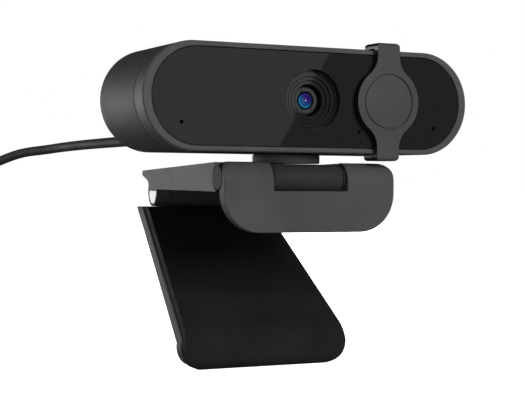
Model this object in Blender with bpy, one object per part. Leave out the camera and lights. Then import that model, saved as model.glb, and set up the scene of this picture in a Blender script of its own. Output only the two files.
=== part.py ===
"""Webcam on a folding monitor clip, built as an assembly of separate pieces.

The camera faces -Y, +X is to the right and +Z is up. The origin lies on the underside of the
clip arm's pad, the flat face that rests on the top edge of a monitor. Lengths below are in
millimetres; make_object() turns them into metres.
"""
import math

import bmesh
import bpy
from mathutils import Vector

MM = 0.001

# ---- driving dimensions, in millimetres -------------------------------------------------
GAP = 0.3                  # clearance kept between neighbouring pieces

BODY_WIDTH = 100.4         # camera body, a pill shape extruded from front to back
BODY_HEIGHT = 29.3
BODY_DEPTH = 35.25
BODY_FRONT_Y = -40.0       # plane of the front ring
BODY_MID_Z = 25.8          # height of the lens axis above the monitor's top edge
BEZEL_DEPTH = 6.55         # front ring, from its face to the seam
SEAM = 0.35
HOUSING_WALL = 1.6
REAR_FILLET = 1.4

GLASS_WIDTH = 95.2
GLASS_HEIGHT = 26.2
GLASS_THICKNESS = 1.6
GLASS_RECESS = 0.2         # the glass sits this far behind the ring's face
LENS_WINDOW_RADIUS = 8.4
LENS_BORE_RADIUS = 4.4
MIC_X = 39.2
MIC_DROP = 7.05            # microphones below the lens axis
LED_X = 14.6
LED_DROP = 8.55

COVER_X = 22.4             # privacy cover, parked beside the lens
COVER_DISC_RADIUS = 9.85
COVER_ARM_WIDTH = 7.15
COVER_FRONT = -2.65        # its face, measured from the body's front plane
COVER_THICKNESS = 1.9
COVER_HOOK_REACH = 7.55
COVER_HOOK_TOP = 16.6      # outer face of a hook above and below the lens axis
COVER_BLEND_RADIUS = 6.75

POST_Y = -23.2             # swivel axis
POST_RADIUS = 9.65

TILT_Y = -34.0             # front hinge, shared by the tilt foot and the front plate
TILT_Z = 4.05
KNUCKLE_RADIUS = 4.0
KNUCKLE_HALF = 10.8
BARREL_RADIUS = 3.3
CURL_INNER = 3.8
CURL_OUTER = 4.5
FRONT_SLOT_HALF = 11.3
FRONT_SLOT_REACH = 4.4     # the slot runs this far behind the front hinge
FOOT_TOP_Z = 8.0

PLATE_HALF = 26.5
PLATE_FRONT_Y = -39.27
PLATE_THICKNESS = 3.3
PLATE_BOTTOM_Z = -10.85
PLATE_LOW_CORNER = 10.8
PLATE_TOP_CORNER = 3.3

ARM_BOTTOM_Z = 0.25
ARM_TOP_Z = 8.42           # height of the arm's top above the front hinge
ARM_TOP_SLOPE = 0.0278     # the top falls towards the rear
ARM_TAPER = 0.1012         # loss of half-width for each millimetre towards the rear
PAD_FRONT_Y = -25.6
PAD_REAR_Y = 23.6
INSERT_Y = 12.5

LEG_Y = 31.4               # rear hinge
LEG_Z = 0.0
LEG_BARREL_RADIUS = 5.1
LEG_KNUCKLE_HALF = 15.1
REAR_SLOT_HALF = 15.4
REAR_SLOT_RADIUS = 5.4
REAR_CAP_RADIUS = 4.2
LEG_SLOPE = 1.267          # tangent of the leg's lean from the vertical
LEG_TOP_Z = -5.4
LEG_BOTTOM_Z = -51.8
LEG_TOP_HALF = 21.0
LEG_BOTTOM_HALF = 27.8
LEG_CORNER = 7.0
PAD_INSET = 0.4
PAD_FACE_Y = 39.83         # where each plane of the leg meets the height of the hinge
PAD_BACK_Y = 43.38
SHELL_FRONT_Y = 43.86
SHELL_BACK_Y = 49.24
TOE_Y = -12.5              # foremost line of the toe

FLOOR_Z = LEG_BOTTOM_Z
CORD_RADIUS = 1.7
CORD_EXIT = (-25.0, 9.2, 15.6)    # end face of the strain relief
COIL_CENTRE = (-84.0, 124.0)
COIL_MEAN_RADIUS = 19.8
COIL_COLUMNS = 3
COIL_LAYERS = 4
TIE_THICKNESS = 0.6
PLUG_X = COIL_CENTRE[0] - COIL_MEAN_RADIUS - 2 * CORD_RADIUS

CORD_ROUTE = [             # centre line from the strain relief to the coil, chosen by hand
    (-25.0, 9.5, 15.6),
    (-25.2, 20.0, 15.6),
    (-26.2, 34.6, 15.5),
    (-28.2, 58.0, 15.2),
    (-30.4, 80.0, 14.7),
    (-33.4, 99.0, 13.8),
    (-41.5, 117.0, 11.6),
    (-52.0, 132.0, 4.2),
    (-60.0, 143.0, -9.8),
    (-66.0, 148.6, -24.0),
    (-72.0, 149.6, -34.0),
    (-77.8, 148.6, -38.2),
    (-84.0, 147.2, -39.0),
]

ROUND = 32                 # sides of a medium round piece
FINE = 16                  # steps in a pill outline's half round


# ---- materials --------------------------------------------------------------------------
def make_material(name, colour, roughness, metallic=0.0, alpha=1.0):
    material = bpy.data.materials.new(name)
    material.use_nodes = True
    shader = material.node_tree.nodes["Principled BSDF"]
    shader.inputs["Base Color"].default_value = (*colour, 1.0)
    shader.inputs["Roughness"].default_value = roughness
    shader.inputs["Metallic"].default_value = metallic
    shader.inputs["Alpha"].default_value = alpha
    return material


FINISHES = {               # colour, roughness, metallic
    "bezel_plastic": ((0.065, 0.067, 0.070), 0.50, 0.0),
    "housing_plastic": ((0.055, 0.057, 0.060), 0.55, 0.0),
    "clip_plastic": ((0.060, 0.062, 0.065), 0.55, 0.0),
    "cover_plastic": ((0.055, 0.057, 0.060), 0.50, 0.0),
    "black_plastic": ((0.012, 0.012, 0.013), 0.45, 0.0),
    "black_glass": ((0.010, 0.011, 0.012), 0.06, 0.0),
    "lens_glass": ((0.030, 0.050, 0.160), 0.03, 0.0),
    "rubber": ((0.010, 0.010, 0.011), 0.70, 0.0),
    "cord_jacket": ((0.030, 0.031, 0.033), 0.55, 0.0),
    "steel": ((0.560, 0.570, 0.580), 0.28, 1.0),
    "brass": ((0.640, 0.450, 0.180), 0.30, 1.0),
    "gold": ((0.830, 0.620, 0.250), 0.25, 1.0),
    "circuit_board": ((0.015, 0.090, 0.045), 0.45, 0.0),
    "chip": ((0.020, 0.020, 0.022), 0.40, 0.0),
    "nylon": ((0.700, 0.700, 0.680), 0.50, 0.0),
    "light_pipe": ((0.750, 0.800, 0.850), 0.15, 0.0),
}


# ---- scene helpers ----------------------------------------------------------------------
groups = {}


def make_group(name, pivot, parent=None):
    """An empty on a joint's axis; the pieces that turn about it hang from it."""
    empty = bpy.data.objects.new(name, None)
    bpy.context.scene.collection.objects.link(empty)
    empty.location = Vector(pivot) * MM
    if parent:
        empty.parent = groups[parent]["empty"]
        empty.location -= Vector(groups[parent]["pivot"]) * MM
    groups[name] = {"empty": empty, "pivot": tuple(pivot)}


def make_object(name, bm, group, finish=None):
    """Store a bmesh, given in world millimetres, as an object hanging from its group."""
    bmesh.ops.recalc_face_normals(bm, faces=bm.faces)
    pivot = Vector(groups[group]["pivot"])
    for vert in bm.verts:
        vert.co = (vert.co - pivot) * MM
    mesh = bpy.data.meshes.new(name)
    bm.to_mesh(mesh)
    bm.free()
    mesh.shade_smooth()
    mesh.set_sharp_from_angle(angle=math.radians(35))
    obj = bpy.data.objects.new(name, mesh)
    bpy.context.scene.collection.objects.link(obj)
    obj.parent = groups[group]["empty"]
    if finish:
        colour, roughness, metallic = FINISHES[finish]
        mesh.materials.append(make_material(name + "_material", colour, roughness, metallic))
    return obj


def carve(target, cutter, operation="DIFFERENCE"):
    """Combine a hidden helper solid with a piece through a Boolean modifier."""
    modifier = target.modifiers.new(operation.title(), "BOOLEAN")
    modifier.operation = operation
    modifier.solver = "EXACT"
    modifier.object = cutter
    cutter.hide_render = True
    cutter.display_type = "WIRE"


# ---- solid helpers, all in world millimetres --------------------------------------------
def loft(loops, closed=False):
    """Skin a list of loops that have the same number of points.

    The ends are capped, or the last loop joins the first when closed is set.
    """
    bm = bmesh.new()
    rings = [[bm.verts.new(point) for point in loop] for loop in loops]
    pairs = list(zip(rings, rings[1:]))
    if closed:
        pairs.append((rings[-1], rings[0]))
    count = len(rings[0])
    for near, far in pairs:
        for i in range(count):
            j = (i + 1) % count
            bm.faces.new((near[i], near[j], far[j], far[i]))
    if not closed:
        bm.faces.new(rings[0])
        bm.faces.new(rings[-1])
    return bm


def prism(outline, start, end, axis):
    """Extrude a flat outline along X, Y or Z."""
    if axis == "X":
        loops = [[(at, u, v) for u, v in outline] for at in (start, end)]
    elif axis == "Y":
        loops = [[(u, at, v) for u, v in outline] for at in (start, end)]
    else:
        loops = [[(u, v, at) for u, v in outline] for at in (start, end)]
    return loft(loops)


def box(low, high):
    outline = [(low[0], low[1]), (high[0], low[1]), (high[0], high[1]), (low[0], high[1])]
    return prism(outline, low[2], high[2], "Z")


def circle_loop(radius, at, axis, centre, steps):
    """A circle round an axis; centre gives the two other coordinates in XYZ order."""
    loop = []
    for i in range(steps):
        angle = 2 * math.pi * i / steps
        u = centre[0] + radius * math.cos(angle)
        v = centre[1] + radius * math.sin(angle)
        point = {"X": (at, u, v), "Y": (u, at, v), "Z": (u, v, at)}[axis]
        loop.append(point)
    return loop


def turned(profile, axis, centre, steps=ROUND, ring=False):
    """Turn a profile of (radius, position along the axis) points into a round piece."""
    loops = [circle_loop(radius, at, axis, centre, steps) for radius, at in profile]
    return loft(loops, closed=ring)


def tube(inner, outer, start, end, axis, centre, steps=ROUND):
    profile = [(outer, start), (outer, end), (inner, end), (inner, start)]
    return turned(profile, axis, centre, steps, ring=True)


def rod(radius, start, end, axis, centre, steps=ROUND, chamfer=0.0):
    if chamfer:
        profile = [
            (radius - chamfer, start),
            (radius, start + chamfer),
            (radius, end - chamfer),
            (radius - chamfer, end),
        ]
    else:
        profile = [(radius, start), (radius, end)]
    return turned(profile, axis, centre, steps)


def arc(centre, radius, first, last, steps):
    """Points on a circular arc; angles in degrees."""
    points = []
    for i in range(steps + 1):
        angle = math.radians(first + (last - first) * i / steps)
        points.append((centre[0] + radius * math.cos(angle), centre[1] + radius * math.sin(angle)))
    return points


def pill(width, height, y, steps=FINE):
    """A pill outline round the lens axis, seen from the front, at depth y in the body."""
    radius = height / 2
    reach = width / 2 - radius
    points = arc((reach, BODY_MID_Z), radius, -90, 90, steps)
    points += arc((-reach, BODY_MID_Z), radius, 90, 270, steps)
    return [(x, BODY_FRONT_Y + y, z) for x, z in points]


def rounded_box(low, high, radius, axis, steps=4):
    """A box whose four edges along one axis are rounded."""
    index = {"X": (1, 2, 0), "Y": (0, 2, 1), "Z": (0, 1, 2)}[axis]
    u0, u1 = low[index[0]], high[index[0]]
    v0, v1 = low[index[1]], high[index[1]]
    outline = arc((u1 - radius, v1 - radius), radius, 0, 90, steps)
    outline += arc((u0 + radius, v1 - radius), radius, 90, 180, steps)
    outline += arc((u0 + radius, v0 + radius), radius, 180, 270, steps)
    outline += arc((u1 - radius, v0 + radius), radius, 270, 360, steps)
    return prism(outline, low[index[2]], high[index[2]], axis)


def smooth_route(points, spacing):
    """Points at an even spacing on a smooth curve through the route's own points."""
    ends = [2 * Vector(points[0]) - Vector(points[1])]
    knots = ends + [Vector(p) for p in points] + [2 * Vector(points[-1]) - Vector(points[-2])]
    fine = []
    for a, b, c, d in zip(knots, knots[1:], knots[2:], knots[3:]):
        for step in range(24):
            t = step / 24
            fine.append(0.5 * (2 * b + (c - a) * t + (2 * a - 5 * b + 4 * c - d) * t * t
                               + (3 * b - a - 3 * c + d) * t ** 3))
    fine.append(Vector(points[-1]))
    total = sum((q - p).length for p, q in zip(fine, fine[1:]))
    count = max(2, round(total / spacing))
    wanted = [total * i / count for i in range(count + 1)]
    result = []
    walked = 0.0
    for p, q in zip(fine, fine[1:]):
        step = (q - p).length
        while wanted and wanted[0] <= walked + step:
            result.append(p.lerp(q, (wanted.pop(0) - walked) / step))
        walked += step
    if wanted:
        result.append(fine[-1])
    return result


def cord_curve(name, points, group, finish):
    """A round cord along a line of points, as a bevelled curve with filled caps."""
    pivot = Vector(groups[group]["pivot"])
    curve = bpy.data.curves.new(name, "CURVE")
    curve.dimensions = "3D"
    curve.bevel_depth = CORD_RADIUS * MM
    curve.bevel_resolution = 2
    curve.use_fill_caps = True
    spline = curve.splines.new("POLY")
    spline.points.add(len(points) - 1)
    for slot, point in zip(spline.points, points):
        slot.co = (*((Vector(point) - pivot) * MM), 1.0)
    obj = bpy.data.objects.new(name, curve)
    bpy.context.scene.collection.objects.link(obj)
    obj.parent = groups[group]["empty"]
    colour, roughness, metallic = FINISHES[finish]
    curve.materials.append(make_material(name + "_material", colour, roughness, metallic))
    return obj


# ---- camera body ------------------------------------------------------------------------
def build_front_bezel():
    """Pill-shaped ring with a seat for the glass and a lip that enters the rear housing."""
    w, h = BODY_WIDTH, BODY_HEIGHT
    seat_w = GLASS_WIDTH + 2 * GAP
    seat_h = GLASS_HEIGHT + 2 * GAP
    seat_y = GLASS_RECESS + GLASS_THICKNESS + GAP
    ledge = (w - 9.0, h - 7.0)
    lip = 2 * (HOUSING_WALL + GAP)
    loops = [
        pill(seat_w, seat_h, 0.0),
        pill(w - 1.0, h - 1.0, 0.0),
        pill(w - 0.3, h - 0.3, 0.15),
        pill(w, h, 0.5),
        pill(w, h, BEZEL_DEPTH),
        pill(w - lip, h - lip, BEZEL_DEPTH),
        pill(w - lip, h - lip, BEZEL_DEPTH + 2.0),
        pill(w - lip - 1.8, h - lip - 1.8, BEZEL_DEPTH + 2.0),
        pill(w - lip - 1.8, h - lip - 1.8, seat_y + 0.9),
        pill(*ledge, seat_y + 0.9),
        pill(*ledge, seat_y),
        pill(seat_w, seat_h, seat_y),
    ]
    make_object("front_bezel", loft(loops, closed=True), "camera", "bezel_plastic")


def front_hole(target, x, drop, radius, steps):
    hole = rod(radius, BODY_FRONT_Y - 2, BODY_FRONT_Y + 4, "Y", (x, BODY_MID_Z - drop), steps)
    carve(target, make_object(target.name + "_hole", hole, "camera"))


def build_front_glass():
    back = GLASS_RECESS + GLASS_THICKNESS
    loops = [
        pill(GLASS_WIDTH - 0.3, GLASS_HEIGHT - 0.3, GLASS_RECESS),
        pill(GLASS_WIDTH, GLASS_HEIGHT, GLASS_RECESS + 0.15),
        pill(GLASS_WIDTH, GLASS_HEIGHT, back),
    ]
    glass = make_object("front_glass", loft(loops), "camera", "black_glass")
    front_hole(glass, 0.0, 0.0, LENS_WINDOW_RADIUS, 48)
    front_hole(glass, -MIC_X, MIC_DROP, 0.55, 12)
    front_hole(glass, MIC_X, MIC_DROP, 0.55, 12)
    front_hole(glass, LED_X, LED_DROP, 0.5, 12)


def body_profile(profile):
    return [(radius, BODY_FRONT_Y + y) for radius, y in profile]


def build_lens():
    """Stepped funnel behind the window, then the lens itself, its holder and the sensor."""
    axis = (0.0, BODY_MID_Z)
    funnel = [
        (9.6, 2.1),
        (7.9, 2.1),
        (7.9, 2.45),
        (6.65, 2.45),
        (6.65, 2.8),
        (5.55, 2.8),
        (5.55, 3.15),
        (LENS_BORE_RADIUS, 3.15),
        (LENS_BORE_RADIUS, 7.9),
        (5.6, 7.9),
        (5.6, 4.0),
        (9.6, 4.0),
    ]
    bm = turned(body_profile(funnel), "Y", axis, 48, ring=True)
    make_object("lens_funnel", bm, "camera", "black_plastic")

    retainer = [(2.6, 5.0), (3.4, 4.9), (3.8, 5.3), (3.8, 6.2), (2.6, 6.2)]
    bm = turned(body_profile(retainer), "Y", axis, ROUND, ring=True)
    make_object("lens_retainer", bm, "camera", "black_plastic")

    front_element = [(0.9, 4.75), (1.6, 4.95), (2.25, 5.3), (2.25, 6.2), (1.4, 6.4)]
    make_object("lens_front_element", turned(body_profile(front_element), "Y", axis), "camera",
                "lens_glass")

    bm = tube(2.6, 4.1, BODY_FRONT_Y + 6.7, BODY_FRONT_Y + 13.2, "Y", axis)
    make_object("lens_barrel", bm, "camera", "black_plastic")

    rear_element = [(1.5, 9.4), (2.25, 9.9), (2.25, 11.2), (1.5, 11.7)]
    make_object("lens_rear_element", turned(body_profile(rear_element), "Y", axis), "camera",
                "lens_glass")

    low = (-5.8, BODY_FRONT_Y + 8.3, BODY_MID_Z - 5.8)
    high = (5.8, BODY_FRONT_Y + 14.7, BODY_MID_Z + 5.8)
    holder = make_object("lens_holder", rounded_box(low, high, 1.0, "Y"), "camera",
                         "black_plastic")
    bore = rod(LENS_BORE_RADIUS, BODY_FRONT_Y + 7, BODY_FRONT_Y + 16, "Y", axis)
    carve(holder, make_object("lens_holder_bore", bore, "camera"))

    low = (-2.6, BODY_FRONT_Y + 13.6, BODY_MID_Z - 2.2)
    high = (2.6, BODY_FRONT_Y + 14.6, BODY_MID_Z + 2.2)
    make_object("image_sensor", box(low, high), "camera", "chip")


def build_electronics():
    board_y = BODY_FRONT_Y + 15.0
    low = (-40.0, board_y, BODY_MID_Z - 8.4)
    high = (40.0, board_y + 1.0, BODY_MID_Z + 10.4)
    make_object("main_board", rounded_box(low, high, 3.0, "Y"), "camera", "circuit_board")
    chips = {
        "video_processor": ((9.0, 1.0), (9.0, 9.0), 1.3, "chip"),
        "memory_chip": ((22.0, 1.0), (6.0, 5.0), 1.0, "chip"),
        "cord_connector": ((-25.0, -4.5), (8.0, 4.0), 4.5, "nylon"),
    }
    for name, ((x, rise), (width, height), depth, finish) in chips.items():
        low = (x - width / 2, board_y + 1.3, BODY_MID_Z + rise - height / 2)
        high = (x + width / 2, board_y + 1.3 + depth, BODY_MID_Z + rise + height / 2)
        make_object(name, box(low, high), "camera", finish)

    for side, sign in (("left", -1), ("right", 1)):
        centre = (sign * MIC_X, BODY_MID_Z - MIC_DROP)
        gasket = tube(0.8, 2.4, BODY_FRONT_Y + 2.1, BODY_FRONT_Y + 3.2, "Y", centre, 20)
        make_object("mic_gasket_" + side, gasket, "camera", "rubber")
        capsule = rod(2.0, BODY_FRONT_Y + 3.5, BODY_FRONT_Y + 5.3, "Y", centre, 20, 0.2)
        make_object("microphone_" + side, capsule, "camera", "steel")

    centre = (LED_X, BODY_MID_Z - LED_DROP)
    pipe = rod(0.9, BODY_FRONT_Y + 2.1, BODY_FRONT_Y + 10.5, "Y", centre, 16)
    make_object("led_light_pipe", pipe, "camera", "light_pipe")


def build_rear_housing():
    """Open-fronted cup: the loft runs from the inside of its rear wall out round the rim."""
    w, h = BODY_WIDTH, BODY_HEIGHT
    inner = 2 * HOUSING_WALL
    front = BEZEL_DEPTH + SEAM
    loops = [
        pill(w - inner, h - inner, BODY_DEPTH - HOUSING_WALL),
        pill(w - inner, h - inner, front),
        pill(w - 0.3, h - 0.3, front),
        pill(w, h, front + 0.15),
    ]
    for step in range(6):
        angle = math.radians(90 * step / 5)
        inset = REAR_FILLET * (1 - math.cos(angle))
        depth = BODY_DEPTH - REAR_FILLET * (1 - math.sin(angle))
        loops.append(pill(w - 2 * inset, h - 2 * inset, depth))
    housing = make_object("rear_housing", loft(loops), "camera", "housing_plastic")

    swivel_hole = rod(4.2, BODY_MID_Z - 18, BODY_MID_Z - 10, "Z", (0.0, POST_Y))
    carve(housing, make_object("swivel_hole", swivel_hole, "camera"))
    cord_hole = rod(2.25, BODY_FRONT_Y + 30, BODY_FRONT_Y + 40, "Y",
                    (CORD_EXIT[0], CORD_EXIT[2]), 20)
    carve(housing, make_object("cord_hole", cord_hole, "camera"))


def build_strain_relief():
    """Rubber sleeve with an inner flange, a neck through the rear wall and a long taper."""
    back = BODY_FRONT_Y + BODY_DEPTH
    inside = back - HOUSING_WALL
    profile = [
        (2.0, inside - 1.5),
        (2.6, inside - 1.5),
        (2.6, inside - GAP),
        (2.0, inside - GAP),
        (2.0, back + GAP),
        (2.9, back + GAP),
        (2.9, back + 1.4),
        (2.55, back + 1.8),
        (2.1, CORD_EXIT[1] - 0.4),
        (1.9, CORD_EXIT[1]),
    ]
    bm = turned(profile, "Y", (CORD_EXIT[0], CORD_EXIT[2]), 20)
    make_object("cord_strain_relief", bm, "camera", "rubber")


def build_privacy_cover():
    """Disc on a narrow strap whose ends hook over the top and bottom of the front ring."""
    front = BODY_FRONT_Y + COVER_FRONT
    back = front + COVER_THICKNESS
    half = COVER_ARM_WIDTH / 2
    blend = COVER_BLEND_RADIUS
    blend_x = half + blend
    blend_z = math.sqrt((COVER_DISC_RADIUS + blend) ** 2 - blend_x ** 2)
    lean = math.degrees(math.atan2(blend_z, blend_x))
    quarter = arc((0, 0), COVER_DISC_RADIUS, 0, lean, 8)
    quarter += arc((blend_x, blend_z), blend, 180 + lean, 180, 6)[1:]
    top = COVER_HOOK_TOP - 2.0
    right = quarter + [(half, top)]
    upper = right + [(-x, z) for x, z in reversed(right)]
    lower = [(-x, -z) for x, z in upper]
    outline = upper[:-1] + lower[:-1]
    shifted = [(COVER_X + x, BODY_MID_Z + z) for x, z in outline]
    cover = make_object("privacy_cover", prism(shifted, front, back, "Y"), "cover",
                        "cover_plastic")

    wall = COVER_HOOK_TOP - BODY_HEIGHT / 2 - GAP
    rear = front + COVER_HOOK_REACH
    for name, sign in (("cover_top_hook", 1), ("cover_bottom_hook", -1)):
        outer = COVER_HOOK_TOP
        inner = COVER_HOOK_TOP - wall
        strip = arc((front + 1.6, outer - 1.6), 1.6, 180, 90, 4)
        strip += arc((rear - 0.6, outer - 0.6), 0.6, 90, 0, 3)
        strip += [(rear, inner), (back, inner), (back, inner - 3.0), (front, inner - 3.0)]
        strip = [(y, BODY_MID_Z + sign * z) for y, z in strip]
        hook = make_object(name, prism(strip, COVER_X - half, COVER_X + half, "X"), "cover")
        carve(cover, hook, "UNION")

    groove = tube(7.4, 7.95, front - 0.5, front + 0.4, "Y", (COVER_X, BODY_MID_Z), 40)
    carve(cover, make_object("cover_groove", groove, "cover"))


# ---- swivel and tilt --------------------------------------------------------------------
def build_swivel():
    """Post with a stub through the body's floor, held there by washer, retainer and screw."""
    body_bottom = BODY_MID_Z - BODY_HEIGHT / 2
    floor_top = body_bottom + HOUSING_WALL
    foot_top = FOOT_TOP_Z
    axis = (0.0, POST_Y)
    profile = [
        (POST_RADIUS, foot_top + GAP),
        (POST_RADIUS, body_bottom - GAP),
        (3.8, body_bottom - GAP),
        (3.8, floor_top + 0.9),
        (1.5, floor_top + 0.9),
        (1.5, foot_top + GAP),
    ]
    make_object("swivel_post", turned(profile, "Z", axis, 40, ring=True), "tilt", "clip_plastic")
    washer = tube(4.2, 6.6, floor_top + GAP, floor_top + 0.8, "Z", axis)
    make_object("swivel_spring_washer", washer, "tilt", "steel")
    retainer = tube(1.6, 6.6, floor_top + 1.2, floor_top + 2.0, "Z", axis)
    make_object("swivel_retainer", retainer, "tilt", "steel")
    screw = [
        (1.2, foot_top + GAP),
        (1.2, floor_top + 2.3),
        (2.5, floor_top + 2.3),
        (2.5, floor_top + 3.2),
        (2.0, floor_top + 3.6),
    ]
    make_object("swivel_screw", turned(screw, "Z", axis, 20), "tilt", "steel")


def build_tilt_foot():
    """Knuckle on the front hinge with a tongue that carries the swivel post."""
    top = FOOT_TOP_Z
    axis = (TILT_Y, TILT_Z)
    foot = make_object("tilt_foot", rod(KNUCKLE_RADIUS, -KNUCKLE_HALF, KNUCKLE_HALF, "X", axis,
                                        40, 0.3), "tilt", "clip_plastic")
    outline = [(-KNUCKLE_HALF + 0.4, TILT_Y), (KNUCKLE_HALF - 0.4, TILT_Y)]
    outline += arc((0.0, POST_Y), KNUCKLE_HALF - 0.4, 0, 180, 20)
    tongue = make_object("tilt_tongue", prism(outline, top - 2.0, top, "Z"), "tilt")
    carve(foot, tongue, "UNION")
    bore = rod(1.5, -KNUCKLE_HALF - 1, KNUCKLE_HALF + 1, "X", axis, 20)
    carve(foot, make_object("tilt_foot_bore", bore, "tilt"))


# ---- clip: arm, front plate and their hinge ---------------------------------------------
def arm_half_width(y):
    """The arm narrows steadily from the front hinge towards its rear end."""
    return PLATE_HALF - ARM_TAPER * max(0.0, y - TILT_Y)


def arm_top(y):
    return ARM_TOP_Z - ARM_TOP_SLOPE * (y - TILT_Y)


def arm_outline():
    """Side view of the arm: front barrel, slab, rear lip, notch and rear barrel."""
    tilt = (TILT_Y, TILT_Z)
    leg = (LEG_Y, LEG_Z)
    front_y = TILT_Y + 1.4
    start = math.degrees(math.acos(1.4 / BARREL_RADIUS))
    outline = [(front_y, arm_top(front_y) - 0.4)]
    outline += arc(tilt, BARREL_RADIUS, start, 270, 20)
    outline += [(TILT_Y + 1.0, ARM_BOTTOM_Z)]
    meet = 180 - math.degrees(math.asin((ARM_BOTTOM_Z - LEG_Z) / LEG_BARREL_RADIUS))
    outline += arc(leg, LEG_BARREL_RADIUS, meet, 382, 20)
    outline += [(LEG_Y + 5.5, 2.7), (LEG_Y + 6.9, 3.3), (LEG_Y + 8.9, 3.8)]
    outline += [(LEG_Y + 11.0, 4.3), (LEG_Y + 12.7, 4.9)]
    outline += [(LEG_Y + 12.5, 5.8), (LEG_Y + 12.1, arm_top(LEG_Y + 12.1))]
    outline += [(front_y + 0.5, arm_top(front_y))]
    return outline


def rear_cap(radius, sign, inner, depth):
    """Half-round piece under the rear hinge; its outer face follows the arm's taper."""
    outline = arc((LEG_Y, LEG_Z - 0.15), radius, 180, 360, 16)
    bm = prism(outline, 0.0, 1.0, "X")
    for vert in bm.verts:
        outer = arm_half_width(vert.co.y) - depth
        vert.co.x = sign * (outer if vert.co.x > 0.5 else inner)
    return bm


def build_clip_arm():
    width = PLATE_HALF + 2
    arm = make_object("clip_arm", prism(arm_outline(), -width, width, "X"), "clip",
                      "clip_plastic")
    tilt = (TILT_Y, TILT_Z)
    leg = (LEG_Y, LEG_Z)
    end = LEG_Y + 16
    plan = [(PLATE_HALF, TILT_Y - 8), (PLATE_HALF, TILT_Y), (arm_half_width(end), end)]
    plan += [(-x, y) for x, y in reversed(plan)]
    carve(arm, make_object("arm_plan", prism(plan, -12, 16, "Z"), "clip"), "INTERSECT")

    slot = FRONT_SLOT_HALF
    front = TILT_Y + FRONT_SLOT_REACH
    cutters = {
        "front_slot": box((-slot, TILT_Y - 8, -5), (slot, front, 12)),
        "rear_slot": rod(REAR_SLOT_RADIUS, -REAR_SLOT_HALF, REAR_SLOT_HALF, "X", leg, 40),
        "front_pin_bore": rod(1.5, -25.6, 25.6, "X", tilt, 20),
        "rear_pin_bore": rod(1.8, -18.0, 18.0, "X", leg, 20),
        "insert_bore": rod(4.6, -1.0, 5.7, "Z", (0.0, INSERT_Y), ROUND),
    }
    outline = [(-slot, front - 2), (slot, front - 2)] + arc((0.0, POST_Y), slot, 0, 180, 20)
    cutters["foot_recess"] = prism(outline, FOOT_TOP_Z - 2.4, 12.0, "Z")
    recess = rounded_box((-17.0, PAD_FRONT_Y - 0.4, -1.0), (17.0, PAD_REAR_Y + 0.4, 1.0), 3.0,
                         "Z")
    cutters["pad_recess"] = recess
    for side, sign in (("left", -1), ("right", 1)):
        span = sorted((sign * 25.3, sign * 28.0))
        cutters["front_cap_seat_" + side] = rod(BARREL_RADIUS + 0.2, *span, "X", tilt, ROUND)
        cutters["rear_cap_seat_" + side] = rear_cap(REAR_CAP_RADIUS + 0.3, sign, 18.4, -2.0)
    for name, bm in cutters.items():
        carve(arm, make_object(name, bm, "clip"))


def build_arm_fittings():
    pad = rounded_box((-16.6, PAD_FRONT_Y, 0.0), (16.6, PAD_REAR_Y, 0.7), 2.7, "Z")
    pad_object = make_object("arm_pad", pad, "clip", "rubber")
    hole = rod(5.2, -1.0, 2.0, "Z", (0.0, INSERT_Y), ROUND)
    carve(pad_object, make_object("arm_pad_hole", hole, "clip"))

    # A quarter-inch tripod thread: 3.17 mm is its nominal radius, less the thread's depth.
    insert = tube(2.75, 4.3, 0.4, 5.4, "Z", (0.0, INSERT_Y))
    make_object("tripod_insert", insert, "clip", "brass")

    tilt = (TILT_Y, TILT_Z)
    make_object("front_hinge_pin", rod(1.2, -25.0, 25.0, "X", tilt, 20, 0.2), "clip", "steel")
    leg = (LEG_Y, LEG_Z)
    make_object("rear_hinge_pin", rod(1.5, -17.5, 17.5, "X", leg, 20, 0.2), "clip", "steel")
    for side, sign in (("left", -1), ("right", 1)):
        span = sorted((sign * 25.6, sign * (PLATE_HALF - 0.2)))
        cap = rod(BARREL_RADIUS - 0.1, *span, "X", tilt, ROUND)
        make_object("front_hinge_cap_" + side, cap, "clip", "black_plastic")
        cap = rear_cap(REAR_CAP_RADIUS, sign, 18.7, 0.12)
        make_object("rear_hinge_cap_" + side, cap, "clip", "steel")


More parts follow.
